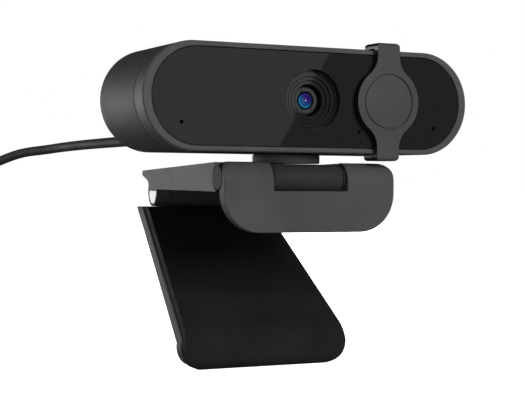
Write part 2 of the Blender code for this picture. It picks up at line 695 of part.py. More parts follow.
def build_front_plate():
    """Hanging plate whose top curls back over the arm's front barrel."""
    tilt = (TILT_Y, TILT_Z)
    back = PLATE_FRONT_Y + PLATE_THICKNESS
    top = TILT_Z + CURL_OUTER
    shoulder = 8
    outline = [(back, PLATE_BOTTOM_Z), (PLATE_FRONT_Y, PLATE_BOTTOM_Z)]
    for step in range(shoulder + 1):
        angle = math.radians(90 * step / shoulder)
        y = TILT_Y - 0.4 - (TILT_Y - 0.4 - PLATE_FRONT_Y) * math.cos(angle)
        outline.append((y, 3.0 + (top - 3.0) * math.sin(angle)))
    outline += arc(tilt, CURL_OUTER, 90, 77, 3)
    low = math.degrees(math.acos((back - TILT_Y) / CURL_INNER))
    outline += arc(tilt, CURL_INNER, 77, 360 - low, 20)
    plate = make_object("front_plate", prism(outline, -PLATE_HALF, PLATE_HALF, "X"), "plate",
                        "clip_plastic")

    half, low_r, top_r = PLATE_HALF, PLATE_LOW_CORNER, PLATE_TOP_CORNER
    shape = arc((half - top_r, top - top_r), top_r, 0, 90, 5)
    shape += arc((top_r - half, top - top_r), top_r, 90, 180, 5)
    shape += arc((low_r - half, PLATE_BOTTOM_Z + low_r), low_r, 180, 270, 12)
    shape += arc((half - low_r, PLATE_BOTTOM_Z + low_r), low_r, 270, 360, 12)
    shape_bm = prism(shape, PLATE_FRONT_Y - 3, TILT_Y + 8, "Y")
    carve(plate, make_object("plate_shape", shape_bm, "plate"), "INTERSECT")

    slot = FRONT_SLOT_HALF + 0.2
    opening = box((-slot, PLATE_FRONT_Y - 3, 0.6), (slot, TILT_Y + 8, 12))
    carve(plate, make_object("plate_opening", opening, "plate"))
    hollow = rod(KNUCKLE_RADIUS + 0.45, -slot, slot, "X", tilt, 40)
    carve(plate, make_object("plate_hollow", hollow, "plate"))

    low = (-20.0, back + GAP, PLATE_BOTTOM_Z + 2.0)
    high = (20.0, back + 0.9, -1.2)
    make_object("plate_pad", rounded_box(low, high, 3.5, "Y"), "plate", "rubber")


# ---- leg --------------------------------------------------------------------------------
def leg_point(plane_y, z):
    """The point at a height on one of the leg's sloping planes, named by its y at z = 0."""
    return (plane_y + LEG_SLOPE * z, z)


def leg_height(plane_y, y):
    return (y - plane_y) / LEG_SLOPE


def leg_half_width(z):
    share = (LEG_TOP_Z - z) / (LEG_TOP_Z - LEG_BOTTOM_Z)
    return LEG_TOP_HALF + (LEG_BOTTOM_HALF - LEG_TOP_HALF) * share


def leg_front_shape(inset):
    """Front view of the leg: wider at the foot, with rounded lower corners."""
    radius = LEG_CORNER
    top = leg_half_width(8.0) - inset
    side = leg_half_width(LEG_BOTTOM_Z + radius) - inset
    bottom = LEG_BOTTOM_Z - 0.01
    right = [(top, 8.0)] + arc((side - radius, bottom + radius), radius, 0, -90, 10)
    left = [(-x, z) for x, z in reversed(right)]
    return prism(right + left, -30.0, 60.0, "Y")


def build_leg_shell():
    toe_back = -6.5
    toe_front = TOE_Y + 2.8
    outline = [
        leg_point(SHELL_BACK_Y, LEG_TOP_Z),
        leg_point(SHELL_FRONT_Y, LEG_TOP_Z),
        (toe_front, leg_height(SHELL_FRONT_Y, toe_front)),
        (toe_front, LEG_BOTTOM_Z + 1.7),
        (toe_back - 0.8, LEG_BOTTOM_Z + 1.7),
        (toe_back, LEG_BOTTOM_Z + 2.5),
        (toe_back, leg_height(SHELL_BACK_Y, toe_back)),
    ]
    width = LEG_BOTTOM_HALF + 2
    shell = make_object("leg_shell", prism(outline, -width, width, "X"), "leg", "clip_plastic")
    carve(shell, make_object("leg_shell_shape", leg_front_shape(0.0), "leg"), "INTERSECT")

    leg = (LEG_Y, LEG_Z)
    half = LEG_KNUCKLE_HALF
    knuckle = rod(LEG_BARREL_RADIUS, -half, half, "X", leg, 40)
    carve(shell, make_object("leg_knuckle", knuckle, "leg"), "UNION")
    under = LEG_TOP_Z + 0.35
    web = [
        (LEG_Y - 2.9, LEG_Z - 3.9),
        (LEG_Y + 2.0, LEG_Z - 3.0),
        (LEG_Y + 4.7, LEG_Z - 1.9),
        (LEG_Y + 10.2, LEG_TOP_Z - 0.2),
        (LEG_Y + 6.8, LEG_TOP_Z - 0.8),
        (LEG_Y + 5.9, under),
        (LEG_Y + 1.1, under),
    ]
    web_half = half - 0.4
    carve(shell, make_object("leg_web", prism(web, -web_half, web_half, "X"), "leg"), "UNION")
    bore = rod(1.8, -half - 1, half + 1, "X", leg, 20)
    carve(shell, make_object("leg_bore", bore, "leg"))


def build_leg_pad():
    """Rubber pad over the leg's face that wraps round the bottom end as a thick foot."""
    toe_back = TOE_Y + 2.5
    lean = math.degrees(math.atan(LEG_SLOPE))
    outline = [leg_point(PAD_BACK_Y, LEG_TOP_Z), leg_point(PAD_FACE_Y, LEG_TOP_Z)]
    outline += arc((TOE_Y + 7.0, LEG_BOTTOM_Z + 7.1), 7.0, 180 - lean, 180, 6)
    outline += arc((TOE_Y + 3.5, LEG_BOTTOM_Z + 3.5), 3.5, 180, 270, 6)
    outline += arc((TOE_Y + 5.0, LEG_BOTTOM_Z + 0.7), 0.7, 270, 360, 3)
    outline += [(TOE_Y + 5.7, LEG_BOTTOM_Z + 1.4), (toe_back, LEG_BOTTOM_Z + 1.4)]
    outline += [(toe_back, leg_height(PAD_BACK_Y, toe_back))]
    width = LEG_BOTTOM_HALF + 2
    pad = make_object("leg_pad", prism(outline, -width, width, "X"), "leg", "rubber")
    carve(pad, make_object("leg_pad_shape", leg_front_shape(PAD_INSET), "leg"), "INTERSECT")


# ---- cord -------------------------------------------------------------------------------
def build_cord():
    step = 2 * CORD_RADIUS
    bottom = FLOOR_Z + TIE_THICKNESS + GAP
    inner = COIL_MEAN_RADIUS - step * COIL_COLUMNS / 2
    outer = COIL_MEAN_RADIUS + step * COIL_COLUMNS / 2
    top = bottom + step * COIL_LAYERS
    cord_curve("cord", smooth_route(CORD_ROUTE, 8.0), "camera", "cord_jacket")
    coil = tube(inner, outer, bottom, top, "Z", COIL_CENTRE, 48)
    coil_object = make_object("cord_coil", coil, "camera", "cord_jacket")
    low = (COIL_CENTRE[0] - 1.5, COIL_CENTRE[1] + outer - 4.2, top - step - 0.6)
    high = (COIL_CENTRE[0] + 12.0, COIL_CENTRE[1] + outer + 4.0, top + 2)
    carve(coil_object, make_object("coil_entry", box(low, high), "camera"))

    # The tie is a flat band round the coil's section, on the side away from the plug.
    lean = math.radians(-30)
    span = [(inner - GAP, outer + GAP), (bottom - GAP, top + GAP)]
    loops = []
    for along in (-2.5, 2.5):
        for grow in (0.0, TIE_THICKNESS):
            r0, r1 = span[0][0] - grow, span[0][1] + grow
            z0, z1 = span[1][0] - grow, span[1][1] + grow
            corners = [(r0, z0), (r1, z0), (r1, z1), (r0, z1)]
            loops.append([(COIL_CENTRE[0] + r * math.cos(lean) - along * math.sin(lean),
                           COIL_CENTRE[1] + r * math.sin(lean) + along * math.cos(lean), z)
                          for r, z in corners])
    band = loft([loops[0], loops[1], loops[3], loops[2]], closed=True)
    make_object("cord_tie", band, "camera", "rubber")


def build_plug():
    """USB-A plug lying beside the coil, its nose towards -Y and its boot against the coil."""
    mid_z = FLOOR_Z + 4.0
    rear_y = COIL_CENTRE[1] - 13.6
    x = PLUG_X
    profile = [(1.9, rear_y), (2.6, rear_y - 6.0), (2.6, rear_y - 10.0)]
    overmould = make_object("plug_overmould", turned(profile, "Y", (x, mid_z), 20), "camera",
                            "black_plastic")
    low = (x - 7.9, rear_y - 28.0, FLOOR_Z)
    high = (x + 7.9, rear_y - 7.0, FLOOR_Z + 8.0)
    grip = make_object("plug_grip", rounded_box(low, high, 2.0, "Y"), "camera")
    carve(overmould, grip, "UNION")

    nose = rear_y - 28.0 - GAP
    half_w, half_h, wall = 6.0, 2.25, 0.35
    loops = []
    for inset, y in ((0.0, nose), (0.0, nose - 18.7), (wall, nose - 18.7), (wall, nose)):
        w, h = half_w - inset, half_h - inset
        loops.append([(x - w, y, mid_z - h), (x + w, y, mid_z - h),
                      (x + w, y, mid_z + h), (x - w, y, mid_z + h)])
    make_object("plug_shell", loft(loops, closed=True), "camera", "steel")
    low = (x - 5.3, nose - 17.5, mid_z - 1.6)
    high = (x + 5.3, nose, mid_z + 0.1)
    make_object("plug_tongue", box(low, high), "camera", "nylon")


# ---- assembly ---------------------------------------------------------------------------
def main():
    for obj in list(bpy.data.objects):
        bpy.data.objects.remove(obj, do_unlink=True)

    make_group("clip", (0.0, 0.0, 0.0))
    make_group("plate", (0.0, TILT_Y, TILT_Z), "clip")
    make_group("tilt", (0.0, TILT_Y, TILT_Z), "clip")
    make_group("camera", (0.0, POST_Y, BODY_MID_Z), "tilt")
    make_group("cover", (COVER_X, BODY_FRONT_Y, BODY_MID_Z), "camera")
    make_group("leg", (0.0, LEG_Y, LEG_Z), "clip")

    build_front_bezel()
    build_front_glass()
    build_lens()
    build_electronics()
    build_rear_housing()
    build_strain_relief()
    build_privacy_cover()
    build_swivel()
    build_tilt_foot()
    build_clip_arm()
    build_arm_fittings()
    build_front_plate()
    build_leg_shell()
    build_leg_pad()
    build_cord()
    build_plug()


main()
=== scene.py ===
"""Looks for the webcam on a folding monitor clip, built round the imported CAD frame.

The frame's axes: the camera body looks along -Y, +X is to the right and +Z is up. Places are
worked out in millimetres and turned into metres when an object is made.
"""
import math

import bmesh
import bpy
from mathutils import Matrix, Vector


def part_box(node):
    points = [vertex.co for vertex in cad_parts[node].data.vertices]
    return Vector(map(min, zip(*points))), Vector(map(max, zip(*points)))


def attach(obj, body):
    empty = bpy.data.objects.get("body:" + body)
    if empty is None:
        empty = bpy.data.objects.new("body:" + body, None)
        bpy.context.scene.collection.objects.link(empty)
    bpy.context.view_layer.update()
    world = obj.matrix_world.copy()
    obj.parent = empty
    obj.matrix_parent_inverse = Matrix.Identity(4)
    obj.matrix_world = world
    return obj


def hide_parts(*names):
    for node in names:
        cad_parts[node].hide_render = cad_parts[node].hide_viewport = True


MM = 0.001

# ---- camera ------------------------------------------------------------------------------
CAMERA_PLACE = Vector((-173.36, -367.39, 3.9)) * MM
CAMERA_RIGHT = Vector((0.9007, -0.4344, 0.0088))
CAMERA_LOOK = Vector((0.4344, 0.9006, -0.0158))
CAMERA_LENS = 92.0         # focal length on a sensor 36 mm wide

# ---- cord, in millimetres ----------------------------------------------------------------
CORD_RADIUS = 1.68
CORD_POINT_SPACING = 2.5   # along the route, outside the coil
CORD_ROUTE = [             # centre line from the strain relief to the coil
    (-25.0, 9.3, 15.6),
    (-25.2, 20.0, 15.6),
    (-26.2, 34.6, 15.5),
    (-28.2, 58.0, 15.2),
    (-30.4, 80.0, 14.7),
    (-33.4, 99.0, 13.8),
    (-41.5, 117.0, 11.6),
    (-52.0, 132.0, 4.2),
    (-60.0, 143.0, -9.8),
    (-66.0, 148.6, -24.0),
    (-72.0, 149.6, -34.0),
    (-77.8, 148.6, -38.2),
    (-84.0, 147.2, -39.0),
]
TURN_STEP = 3.4            # centre to centre, between neighbouring turns
CROSSOVER = 0.25           # share of a turn in which the cord shifts to its next place
TURN_POINTS = 32
TURNS_PER_LAYER = 3
LAYERS = 4
SLEEVE_GROOVES = 5
SLEEVE_TAPER = 0.6         # how much thinner the sleeve gets along its grooves

# ---- camera body, in millimetres; depths run back from its front plane -------------------
PILL_STEPS = 48            # in a pill outline's half round
RING_DEPTH = 6.55          # from the front plane to the seam
GLASS_GAP = 0.15           # between the glass and the ring
MIC_HOLES = ((-39.2, -7.05), (39.2, -7.05))     # from the middle of the body
MIC_HOLE_RADIUS = 0.55
LIGHT_HOLE = (14.6, -8.55)
LIGHT_HOLE_RADIUS = 0.5
HOUSING_WALL = 1.6
REAR_FILLET = 1.4
POST_HOLE_RADIUS = 4.2
CORD_HOLE_RADIUS = 2.25

# ---- lens, in millimetres ----------------------------------------------------------------
LENS_WINDOW_RADIUS = 8.4
TERRACE_RADII = (7.9, 6.65, 5.55, 4.45)
TERRACE_START = 2.1        # depth of the outermost terrace
TERRACE_DROP = 0.35        # from one terrace down to the next
LOCK_RING_DEPTHS = (4.95, 6.2)
LOCK_RING_STEPS = 72
NOTCH_EVERY = 12           # steps of the lock ring from one notch to the next
NOTCH_DEPTH = 0.35
LENS_RADIUS = 2.25
LENS_DEPTH = 4.75
LENS_DOME = 0.55           # how far the middle of the lens stands in front of its rim

# ---- privacy cover, in millimetres -------------------------------------------------------
COVER_THICKNESS = 1.9
COVER_GAP = 0.3            # above and below the body
COVER_TOP_ROUNDING = 1.3   # side view, at the front
HOOK_ROUNDING = 0.6        # side view, at the rear
STRAP_END_ROUNDING = 1.0   # front view
STRAP_HALF_WIDTH = 3.575
STRAP_BLEND = 6.75         # radius that leads from the disc into the strap
COVER_GROOVE_RADII = (7.35, 7.9)
COVER_GROOVE_DEPTH = 0.4

# ---- swivel, in millimetres --------------------------------------------------------------
POST_RADIUS = 3.8
POST_BORE_RADIUS = 1.5
DRUM_EDGE = 0.3
DRUM_GAP = 0.3             # between the drum and the camera body

# ---- studio, in metres -------------------------------------------------------------------
LIGHT_TARGET = (0.0, -0.02, 0.02)
LIGHTS = [                 # name, place, width and height, power, shows in reflections
    ("left_softbox", (-1.0, 0.10, -0.03), (0.9, 0.35), 3.0, True),
    ("rear_left_strip", (-0.48, 0.95, -0.01), (1.0, 0.36), 5.2, True),
    ("front_softbox", (0.06, -1.05, 0.34), (0.45, 0.45), 18.0, False),
    ("front_left_softbox", (-0.55, -0.95, -0.02), (0.4, 0.3), 4.0, False),
    ("rear_right_softbox", (0.95, 0.62, 0.42), (0.6, 0.6), 22.0, False),
    ("front_low_fill", (-0.10, -1.1, -0.04), (0.5, 0.08), 1.2, False),
]
DIM_CARD_DISTANCE = 0.90   # in front of the glass
DIM_CARD_RADIANCE = 0.39
DIM_CARD_EDGE = (0.4378, 0.0373)   # a point on its slanted edge, as X and Z
DIM_CARD_SLANT = 0.58      # X for each metre of Z along that edge
DARK_CARD_DISTANCE = 0.95
FLOOR_RADIUS = 8.0
FLOOR_GAP = 0.00002        # below the leg's pad

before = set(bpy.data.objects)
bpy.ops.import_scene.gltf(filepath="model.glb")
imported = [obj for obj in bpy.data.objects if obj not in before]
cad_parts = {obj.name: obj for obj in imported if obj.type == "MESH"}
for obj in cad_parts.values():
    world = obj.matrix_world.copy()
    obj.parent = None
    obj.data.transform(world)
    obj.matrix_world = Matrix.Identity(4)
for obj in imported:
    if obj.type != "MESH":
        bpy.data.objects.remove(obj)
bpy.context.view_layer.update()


# ---- places taken from the frame ---------------------------------------------------------
def box_mm(node):
    """A CAD node's lowest and highest corner in millimetres."""
    low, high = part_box(node)
    return Vector(low) / MM, Vector(high) / MM


def middle(node):
    low, high = box_mm(node)
    return (low + high) / 2


RING_LOW, RING_HIGH = box_mm("front_bezel")
GLASS_LOW, GLASS_HIGH = box_mm("front_glass")
HOUSING_LOW, HOUSING_HIGH = box_mm("rear_housing")
BODY_FRONT_Y = RING_LOW.y
BODY_WIDTH = RING_HIGH.x - RING_LOW.x
BODY_HEIGHT = RING_HIGH.z - RING_LOW.z
LENS_Z = middle("front_bezel").z
GLASS_ENDS = (BODY_WIDTH - (GLASS_HIGH.x - GLASS_LOW.x)) / 2       # the glass's inset at each end
GLASS_FLATS = (BODY_HEIGHT - (GLASS_HIGH.z - GLASS_LOW.z)) / 2     # and above and below


# ---- materials ---------------------------------------------------------------------------
MIX_FACTOR, MIX_FIRST, MIX_SECOND, MIX_RESULT = 0, 6, 7, 2     # a Mix node's colour sockets
SPECK_CONTRAST = 0.65      # how much of a plastic's grain shows in its colour


def new_material(name, colour, roughness, metallic=0.0):
    """A Principled material; the caller may add nodes to its colour and roughness."""
    material = bpy.data.materials.new(name)
    material.use_nodes = True
    tree = material.node_tree
    shader = tree.nodes["Principled BSDF"]
    shader.inputs["Base Color"].default_value = (*colour, 1.0)
    shader.inputs["Roughness"].default_value = roughness
    shader.inputs["Metallic"].default_value = metallic
    return material, tree, shader


def noise(tree, scale, detail, stretch=(1, 1, 1)):
    """Noise in the frame's own axes; scale is in features for each metre."""
    nodes, links = tree.nodes, tree.links
    place = nodes.new("ShaderNodeTexCoord")
    mapping = nodes.new("ShaderNodeMapping")
    mapping.inputs["Scale"].default_value = stretch
    texture = nodes.new("ShaderNodeTexNoise")
    texture.inputs["Scale"].default_value = scale
    texture.inputs["Detail"].default_value = detail
    links.new(place.outputs["Object"], mapping.inputs["Vector"])
    links.new(mapping.outputs["Vector"], texture.inputs["Vector"])
    return texture.outputs["Fac"]


def between(tree, factor, low, high, source=(0.3, 0.7)):
    """Map the part of a value's range that source gives, such as noise's usual one."""
    node = tree.nodes.new("ShaderNodeMapRange")
    node.inputs["From Min"].default_value = source[0]
    node.inputs["From Max"].default_value = source[1]
    node.inputs["To Min"].default_value = low
    node.inputs["To Max"].default_value = high
    tree.links.new(factor, node.inputs["Value"])
    return node.outputs["Result"]


def mix_colours(tree, factor, first, second):
    """From the first colour at 0 to the second at 1."""
    node = tree.nodes.new("ShaderNodeMix")
    node.data_type = "RGBA"
    node.inputs[MIX_FIRST].default_value = (*first, 1.0)
    node.inputs[MIX_SECOND].default_value = (*second, 1.0)
    tree.links.new(factor, node.inputs[MIX_FACTOR])
    return node.outputs[MIX_RESULT]


def add_bump(tree, shader, height, strength, distance):
    """Bump from a 0 to 1 height, which stands for distance in metres."""
    bump = tree.nodes.new("ShaderNodeBump")
    bump.inputs["Strength"].default_value = strength
    bump.inputs["Distance"].default_value = distance
    tree.links.new(height, bump.inputs["Height"])
    tree.links.new(bump.outputs["Normal"], shader.inputs["Normal"])


def moulded_plastic(name, shade, roughness, grain):
    """Spark-eroded moulded plastic: a fine even grain, faint colour drift, duller patches."""
    material, tree, shader = new_material(name, shade, roughness)
    drift = between(tree, noise(tree, scale=60, detail=3), 0.0, 1.0)
    darker = tuple(0.88 * c for c in shade)
    lighter = tuple(1.1 * c for c in shade)
    base = mix_colours(tree, drift, darker, lighter)
    contrast = SPECK_CONTRAST * grain
    speck = between(tree, noise(tree, scale=2600, detail=2), 1 - contrast, 1 + contrast)
    speckled = tree.nodes.new("ShaderNodeVectorMath")
    speckled.operation = "SCALE"
    tree.links.new(base, speckled.inputs[0])
    tree.links.new(speck, speckled.inputs["Scale"])
    tree.links.new(speckled.outputs[0], shader.inputs["Base Color"])
    patches = noise(tree, scale=140, detail=3)
    tree.links.new(between(tree, patches, roughness - 0.015, roughness + 0.02),
                   shader.inputs["Roughness"])
    add_bump(tree, shader, noise(tree, scale=3800, detail=3), grain, distance=0.00006)
    return material


def rubber(name, shade, roughness):
    """Matte rubber: faint paler clouds, smears and a very fine tooth."""
    material, tree, shader = new_material(name, shade, roughness)
    shader.inputs["Specular IOR Level"].default_value = 0.35
    drift = between(tree, noise(tree, scale=90, detail=4), 0.0, 1.0)
    lighter = tuple(1.35 * c for c in shade)
    tree.links.new(mix_colours(tree, drift, shade, lighter), shader.inputs["Base Color"])
    smears = noise(tree, scale=200, detail=3)
    tree.links.new(between(tree, smears, roughness - 0.06, roughness + 0.06),
                   shader.inputs["Roughness"])
    add_bump(tree, shader, noise(tree, scale=5200, detail=2), strength=0.2, distance=0.00004)
    return material


def polished(name, shade, roughness, ior=1.5):
    """Gloss plastic or glass with faint wipe marks."""
    material, tree, shader = new_material(name, shade, roughness)
    shader.inputs["IOR"].default_value = ior
    wipe = noise(tree, scale=40, detail=3, stretch=(1, 1, 2.5))
    tree.links.new(between(tree, wipe, roughness, roughness + 0.03), shader.inputs["Roughness"])
    return material


def brushed_metal(name, shade, roughness, stretch):
    """Metal with brush marks across the axis where stretch is largest."""
    material, tree, shader = new_material(name, shade, roughness, metallic=1.0)
    brush = noise(tree, scale=900, detail=3, stretch=stretch)
    tree.links.new(between(tree, brush, roughness - 0.06, roughness + 0.12),
                   shader.inputs["Roughness"])
    add_bump(tree, shader, brush, strength=0.15, distance=0.00002)
    return material


def lens_painted_reflections(name, centre, radius):
    """Dark glass with painted reflections: rings of cyan, blue and violet stand for reflections
    off the coated inner elements, with a painted highlight in the middle, cyan towards one side
    and violet towards the other.
    """
    material, tree, shader = new_material(name, (0.006, 0.009, 0.030), 0.05)
    nodes, links = tree.nodes, tree.links
    shader.inputs["IOR"].default_value = 1.6
    place = nodes.new("ShaderNodeTexCoord")
    shift = nodes.new("ShaderNodeVectorMath")
    shift.operation = "SUBTRACT"
    shift.inputs[1].default_value = centre
    links.new(place.outputs["Object"], shift.inputs[0])
    flat = nodes.new("ShaderNodeVectorMath")
    flat.operation = "MULTIPLY"
    flat.inputs[1].default_value = (1.0, 0.0, 1.0)
    links.new(shift.outputs[0], flat.inputs[0])
    distance = nodes.new("ShaderNodeVectorMath")
    distance.operation = "LENGTH"
    links.new(flat.outputs[0], distance.inputs[0])
    rings = nodes.new("ShaderNodeValToRGB")
    links.new(between(tree, distance.outputs["Value"], 0.0, 1.0, source=(0.0, radius)),
              rings.inputs["Fac"])
    reflection_stops = [
        (0.0, (0.62, 0.60, 0.75)),        # highlight in the middle
        (0.10, (0.22, 0.18, 0.40)),
        (0.17, (0.01, 0.01, 0.04)),
        (0.30, (0.012, 0.016, 0.06)),
        (0.42, (0.07, 0.05, 0.17)),       # painted violet reflection ring
        (0.54, (0.010, 0.022, 0.07)),
        (0.68, (0.014, 0.050, 0.12)),
        (0.82, (0.028, 0.110, 0.17)),     # painted cyan reflection ring
        (0.93, (0.008, 0.02, 0.04)),
        (1.0, (0.004, 0.005, 0.008)),
    ]
    ramp = rings.color_ramp
    while len(ramp.elements) < len(reflection_stops):
        ramp.elements.new(0.5)
    for element, (position, colour) in zip(ramp.elements, reflection_stops):
        element.position = position
        element.color = (*colour, 1.0)
    # painted reflection tint: cyan towards the lower left of the lens, violet towards the upper
    # right
    lean = nodes.new("ShaderNodeVectorMath")
    lean.operation = "DOT_PRODUCT"
    lean.inputs[1].default_value = (0.6, 0.0, 0.8)
    links.new(flat.outputs[0], lean.inputs[0])
    reach = 0.35 * radius
    side = between(tree, lean.outputs["Value"], 0.0, 1.0, source=(-reach, reach))
    tint = mix_colours(tree, side, (0.20, 1.0, 1.15), (0.55, 0.13, 0.60))
    both = nodes.new("ShaderNodeMix")
    both.data_type = "RGBA"
    both.blend_type = "MULTIPLY"
    both.inputs[MIX_FACTOR].default_value = 1.0
    links.new(rings.outputs["Color"], both.inputs[MIX_FIRST])
    links.new(tint, both.inputs[MIX_SECOND])
    links.new(both.outputs[MIX_RESULT], shader.inputs["Base Color"])
    return material


def circuit_board(name):
    """Green board with paler tracks."""
    material, tree, shader = new_material(name, (0.010, 0.075, 0.035), 0.40)
    tracks = tree.nodes.new("ShaderNodeTexVoronoi")
    tracks.inputs["Scale"].default_value = 420
    tracks.distance = "CHEBYCHEV"
    place = tree.nodes.new("ShaderNodeTexCoord")
    tree.links.new(place.outputs["Object"], tracks.inputs["Vector"])
    share = between(tree, tracks.outputs["Distance"], 0.0, 1.0, source=(0.35, 0.5))
    tint = mix_colours(tree, share, (0.008, 0.070, 0.032), (0.020, 0.120, 0.055))
    tree.links.new(tint, shader.inputs["Base Color"])
    return material


PLASTIC = (0.036, 0.0372, 0.0388)
MATERIALS = {              # name, colour and roughness, then a plastic's grain or a gloss's IOR
    "bezel": moulded_plastic("ring_satin_plastic", (0.040, 0.0413, 0.043), 0.62, 0.12),
    "housing": moulded_plastic("housing_fine_plastic", PLASTIC, 0.66, 0.35),
    "clip": moulded_plastic("clip_fine_plastic", PLASTIC, 0.66, 0.30),
    "foot": moulded_plastic("foot_fine_plastic", (0.016, 0.0165, 0.0172), 0.58, 0.30),
    "cover": moulded_plastic("cover_satin_plastic", (0.034, 0.0352, 0.0368), 0.62, 0.30),
    "disc": moulded_plastic("hinge_disc_plastic", (0.008, 0.0082, 0.0087), 0.72, 0.20),
    "black": moulded_plastic("black_moulding", (0.007, 0.007, 0.0075), 0.38, 0.10),
    "funnel": polished("gloss_black_funnel", (0.0086, 0.0090, 0.0098), 0.02, 1.8),
    "glass": polished("dark_front_panel", (0.0086, 0.0090, 0.0098), 0.0, 1.5),
    # the lens's colour holds painted reflections and a painted highlight
    "lens": lens_painted_reflections("lens_with_painted_reflections", tuple(middle("lens_front_element") * MM),
                         LENS_RADIUS * MM),
    "rubber": rubber("matte_black_rubber", (0.0068, 0.0070, 0.0076), 0.80),
    "cord": rubber("cord_jacket", (0.022, 0.0225, 0.024), 0.66),
    "steel": brushed_metal("satin_steel", (0.42, 0.425, 0.43), 0.40, (1, 6, 1)),
    "cap": moulded_plastic("pale_satin_cap", (0.51, 0.515, 0.525), 0.35, 0.08),
    "retainer": moulded_plastic("lock_ring_plastic", (0.026, 0.027, 0.029), 0.40, 0.10),
    "brass": brushed_metal("turned_brass", (0.65, 0.45, 0.18), 0.30, (1, 1, 8)),
    "board": circuit_board("green_board"),
    "chip": moulded_plastic("chip_epoxy", (0.016, 0.016, 0.018), 0.45, 0.10),
    "nylon": moulded_plastic("white_nylon", (0.62, 0.61, 0.58), 0.45, 0.10),
    "pipe": polished("smoked_light_pipe", (0.004, 0.004, 0.0045), 0.25),
    # near-black material: painted shade on the sides of the lens terraces and the privacy cover
    "edge": polished("painted_side_shade", (0.003, 0.003, 0.0033), 0.30),
}


def dress(node, finish):
    """Give a carried-over CAD node its material."""
    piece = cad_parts[node]
    if not piece.data.materials:
        piece.data.materials.append(MATERIALS[finish])
    for slot in piece.material_slots:
        slot.material = MATERIALS[finish]


# ---- mesh helpers, in millimetres --------------------------------------------------------
def add_piece(name, bm, body, finish, stands_for=(), smooth_angle=32):
    """Turn a bmesh into an object that rides on a body and stands for CAD nodes."""
    bmesh.ops.recalc_face_normals(bm, faces=bm.faces)
    for vert in bm.verts:
        vert.co *= MM
    mesh = bpy.data.meshes.new(name)
    bm.to_mesh(mesh)
    bm.free()
    mesh.shade_smooth()
    mesh.set_sharp_from_angle(angle=math.radians(smooth_angle))
    mesh.materials.append(MATERIALS[finish])
    piece = bpy.data.objects.new(name, mesh)
    bpy.context.scene.collection.objects.link(piece)
    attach(piece, body)
    if stands_for:
        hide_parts(*stands_for)
    return piece


def even_shading(piece):
    """Keep large flat faces flat in the shading, next to their small rounded edges."""
    weigh = piece.modifiers.new("even_shading", "WEIGHTED_NORMAL")
    weigh.keep_sharp = True
    weigh.weight = 80


def soften(piece, width, angle=30):
    """Round a piece's edges with a small bevel, in millimetres."""
    bevel = piece.modifiers.new("edge_radius", "BEVEL")
    bevel.width = width * MM
    bevel.segments = 3
    bevel.limit_method = "ANGLE"
    bevel.angle_limit = math.radians(angle)
    bevel.harden_normals = True
    bevel.use_clamp_overlap = False
    bevel.miter_outer = "MITER_ARC"
    even_shading(piece)


def join(target, tool, operation):
    """Apply an exact Boolean and remove the tool."""
    change = target.modifiers.new("change", "BOOLEAN")
    change.operation = operation
    change.solver = "EXACT"
    change.object = tool
    with bpy.context.temp_override(object=target, active_object=target):
        bpy.ops.object.modifier_apply(modifier=change.name)
    bpy.data.objects.remove(tool, do_unlink=True)


def clean_up(piece):
    """Merge the leftovers of Booleans and mark sharp edges again."""
    bm = bmesh.new()
    bm.from_mesh(piece.data)
    bmesh.ops.remove_doubles(bm, verts=bm.verts, dist=0.000002)
    bmesh.ops.dissolve_limit(bm, angle_limit=math.radians(1.0), verts=bm.verts, edges=bm.edges)
    bm.to_mesh(piece.data)
    bm.free()
    piece.data.shade_smooth()
    piece.data.set_sharp_from_angle(angle=math.radians(32))


def drill(target, bm):
    """Cut a hole with a cutter made as a bmesh."""
    join(target, add_piece("cutter", bm, "camera", "edge"), "DIFFERENCE")


def paint_shade_on_sides(piece, limit):
    """Paint shade on every face that looks less than limit towards the front, by giving it the
    near-black edge material.
    """
    piece.data.materials.append(MATERIALS["edge"])
    for face in piece.data.polygons:
        if face.normal.y > -limit:
            face.material_index = 1


def loft(loops, closed=False):
    """Skin between outlines with as many points each; a closed loft ends where it starts."""
    bm = bmesh.new()
    rings = [[bm.verts.new(point) for point in loop] for loop in loops]
    pairs = list(zip(rings, rings[1:]))
    if closed:
        pairs.append((rings[-1], rings[0]))
    count = len(rings[0])
    for near, far in pairs:
        for i in range(count):
            j = (i + 1) % count
            bm.faces.new((near[i], near[j], far[j], far[i]))
    if not closed:
        bm.faces.new(rings[0])
        bm.faces.new(rings[-1])
    return bm


def arc(centre, radius, first, last, steps):
    """Points on a circular arc; angles in degrees."""
    points = []
    for i in range(steps + 1):
        angle = math.radians(first + (last - first) * i / steps)
        points.append((centre[0] + radius * math.cos(angle), centre[1] + radius * math.sin(angle)))
    return points


def pill(width, height, depth):
    """A pill outline round the lens axis at a depth behind the body's front plane."""
    radius = height / 2
    reach = width / 2 - radius
    points = arc((reach, LENS_Z), radius, -90, 90, PILL_STEPS)
    points += arc((-reach, LENS_Z), radius, 90, 270, PILL_STEPS)
    return [(x, BODY_FRONT_Y + depth, z) for x, z in points]


def pill_stack(profile, closed=False):
    """Loft pill outlines given as (inset at the ends, inset above and below, depth)."""
    loops = [pill(BODY_WIDTH - 2 * ends, BODY_HEIGHT - 2 * flats, depth)
             for ends, flats, depth in profile]
    return loft(loops, closed)


def even(profile):
    """The same inset all round, for a profile of (inset, depth)."""
    return [(inset, inset, depth) for inset, depth in profile]


def turned(profile, axis, centre, steps, ring=False):
    """Turn a profile of (radius, place along the Y or Z axis) round centre, the other two."""
    loops = []
    for radius, at in profile:
        loop = []
        for u, v in arc(centre, radius, 0, 360 - 360 / steps, steps - 1):
            loop.append((u, at, v) if axis == "Y" else (u, v, at))
        loops.append(loop)
    return loft(loops, closed=ring)


